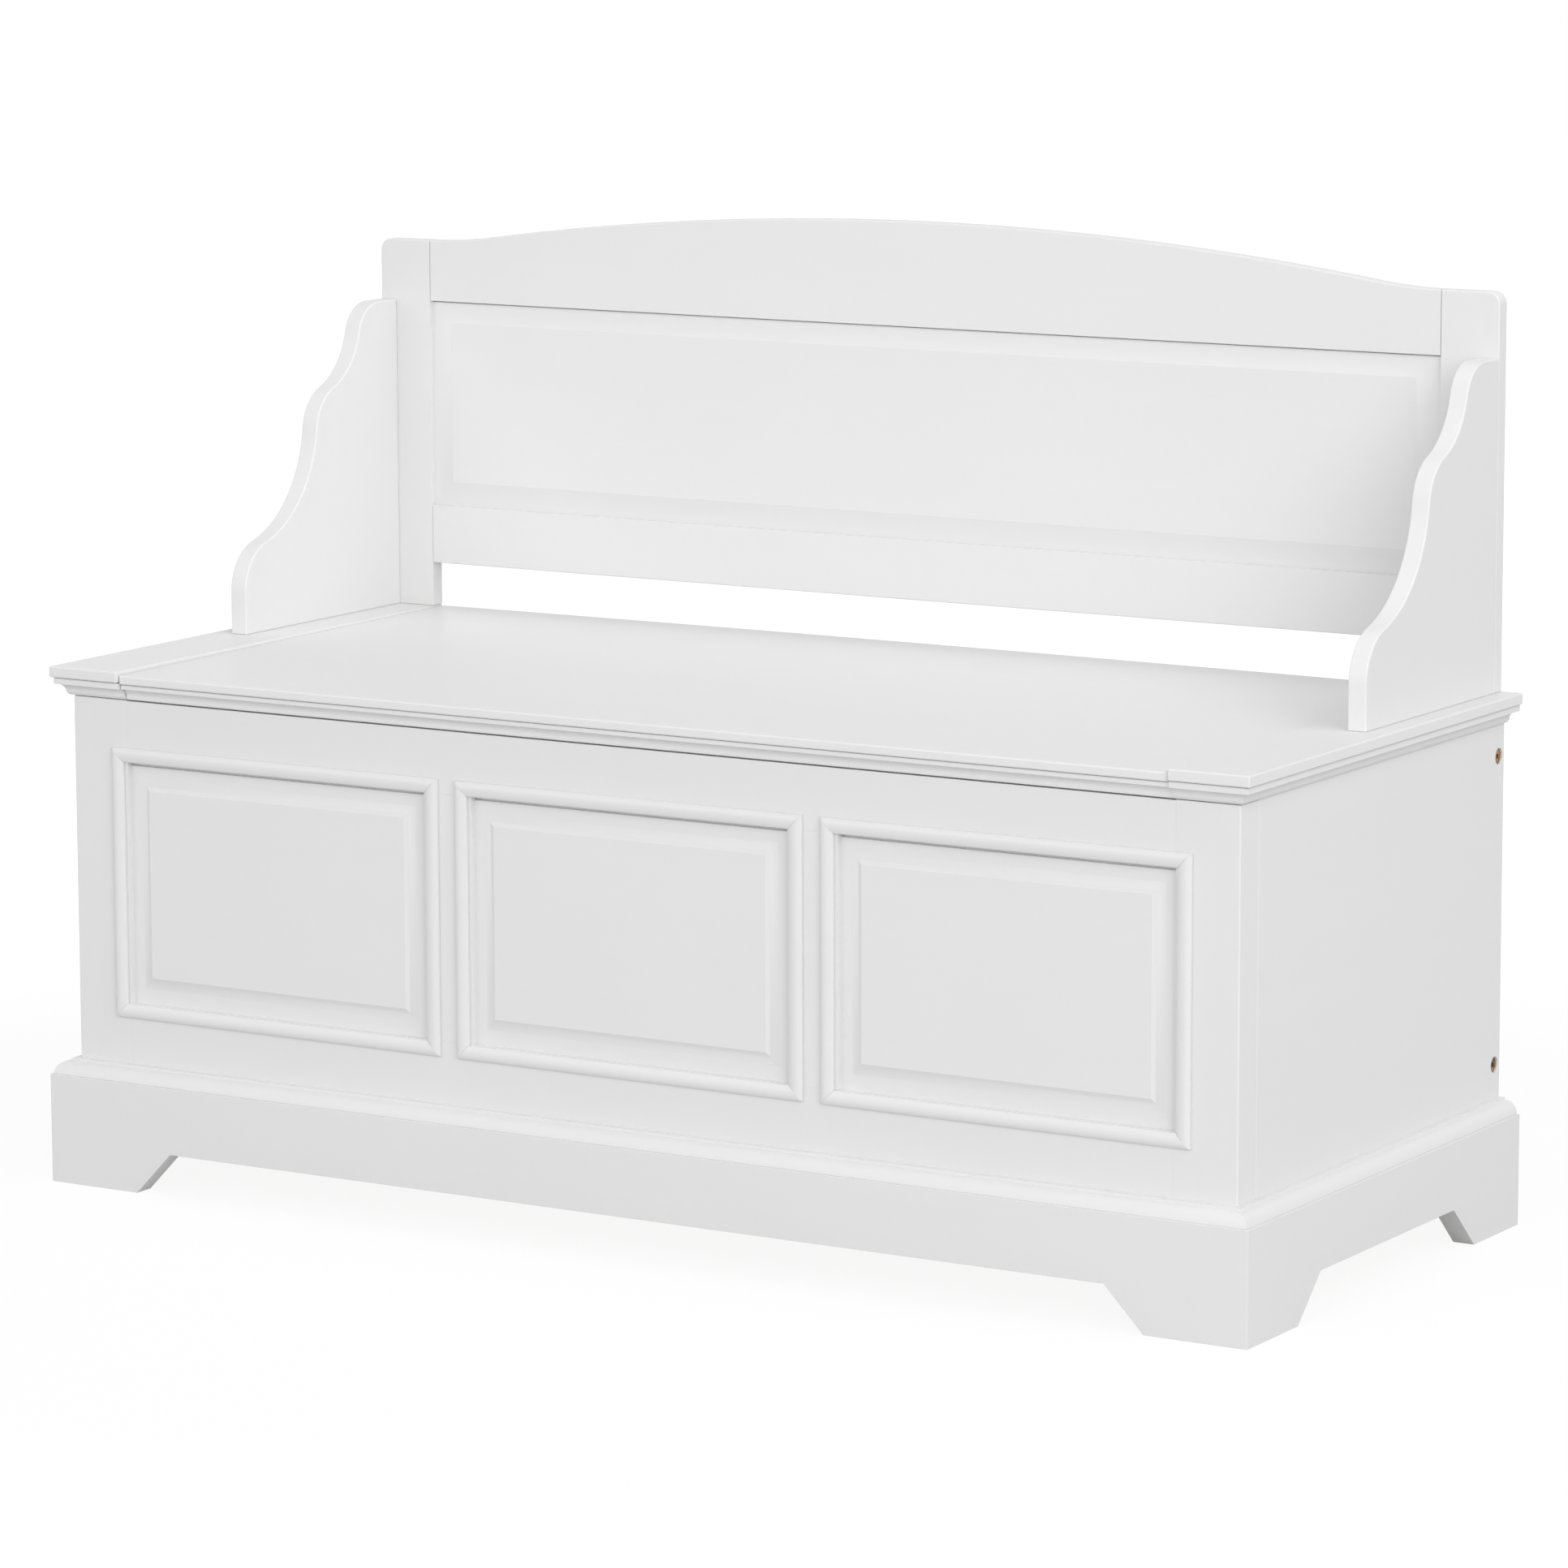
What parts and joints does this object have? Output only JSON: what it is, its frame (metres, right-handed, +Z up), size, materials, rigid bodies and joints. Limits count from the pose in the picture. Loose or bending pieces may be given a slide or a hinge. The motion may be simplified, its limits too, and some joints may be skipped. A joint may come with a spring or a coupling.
{
  "type": "storage bench",
  "caption": "Painted wooden hall bench: a panelled chest on a bracket-foot plinth with a hinged seat lid, scrolled arms and an arched panelled back, for keeping shoes under the seat.",
  "frame": {"origin": "centre of the bench's footprint, on the floor", "axes": "+X along the bench to the right seen from the front, +Y to the back, +Z up"},
  "size_m": [1.201, 0.5224, 0.8469],
  "materials": {
    "white_lacquer": "satin white paint",
    "bare_board": "unpainted softwood",
    "beech_dowel": "plain beech",
    "bronzed_steel": "dark bronze plating",
    "zinc_steel": "zinc plated",
    "bumper_rubber": "pale rubber"
  },
  "bodies": {
    "carcass": {"arm_bolts": "bronzed_steel", "arm_left": "white_lacquer", "arm_right": "white_lacquer", "back_post_left": "white_lacquer", "back_post_right": "white_lacquer", "backrest_dowels": "beech_dowel", "backrest_panel": "white_lacquer", "backrest_rail": "white_lacquer", "barrel_nuts": "zinc_steel", "cap_left": "white_lacquer", "cap_moulding_left": "white_lacquer", "cap_moulding_right": "white_lacquer", "cap_rail_left": "bare_board", "cap_rail_right": "bare_board", "cap_right": "white_lacquer", "chest_back": "white_lacquer", "chest_floor": "bare_board", "crest_rail": "white_lacquer", "floor_cleats": "bare_board", "foot_blocks": "bare_board", "frame_dowels": "beech_dowel", "front_bottom_rail": "white_lacquer", "front_panel_centre": "white_lacquer", "front_panel_left": "white_lacquer", "front_panel_right": "white_lacquer", "front_top_rail": "white_lacquer", "hinge_centre_frame_leaf": "zinc_steel", "hinge_frame_screws": "zinc_steel", "hinge_left_frame_leaf": "zinc_steel", "hinge_pins": "zinc_steel", "hinge_right_frame_leaf": "zinc_steel", "lid_bumpers": "bumper_rubber", "muntin_left": "white_lacquer", "muntin_right": "white_lacquer", "panel_moulding_centre": "white_lacquer", "panel_moulding_left": "white_lacquer", "panel_moulding_right": "white_lacquer", "plinth_front": "white_lacquer", "plinth_left": "white_lacquer", "plinth_right": "white_lacquer", "seat_dowels": "beech_dowel", "side_bolts": "bronzed_steel", "side_panel_left": "white_lacquer", "side_panel_right": "white_lacquer", "stay_studs": "zinc_steel", "stile_left": "white_lacquer", "stile_right": "white_lacquer"},
    "lid": {"lid_board": "white_lacquer", "lid_moulding": "white_lacquer", "hinge_left_lid_leaf": "zinc_steel", "hinge_centre_lid_leaf": "zinc_steel", "hinge_right_lid_leaf": "zinc_steel", "hinge_lid_screws": "zinc_steel", "stay_brackets": "zinc_steel", "stay_bracket_screws": "zinc_steel", "stay_pins": "zinc_steel"},
    "stay_left": {"stay_bar_left": "zinc_steel"},
    "stay_right": {"stay_bar_right": "zinc_steel"}
  },
  "joints": [
    {"name": "lid_hinge", "type": "hinge", "parent": "carcass", "child": "lid", "pos_m": [0, 0.2577, 0.4493], "axis": [-1, 0, 0], "range_deg": [0, 54]},
    {"name": "stay_left_pivot", "type": "hinge", "parent": "lid", "child": "stay_left", "pos_m": [-0.51275, 0.0977, 0.4375], "axis": [-1, 0, 0], "range_deg": [-27, 0]},
    {"name": "stay_right_pivot", "type": "hinge", "parent": "lid", "child": "stay_right", "pos_m": [0.51275, 0.0977, 0.4375], "axis": [-1, 0, 0], "range_deg": [-27, 0]}
  ],
  "couplings": [
    {"joint": "stay_left_pivot", "follows": "lid_hinge", "ratio": -0.5},
    {"joint": "stay_right_pivot", "follows": "lid_hinge", "ratio": -0.5}
  ]
}
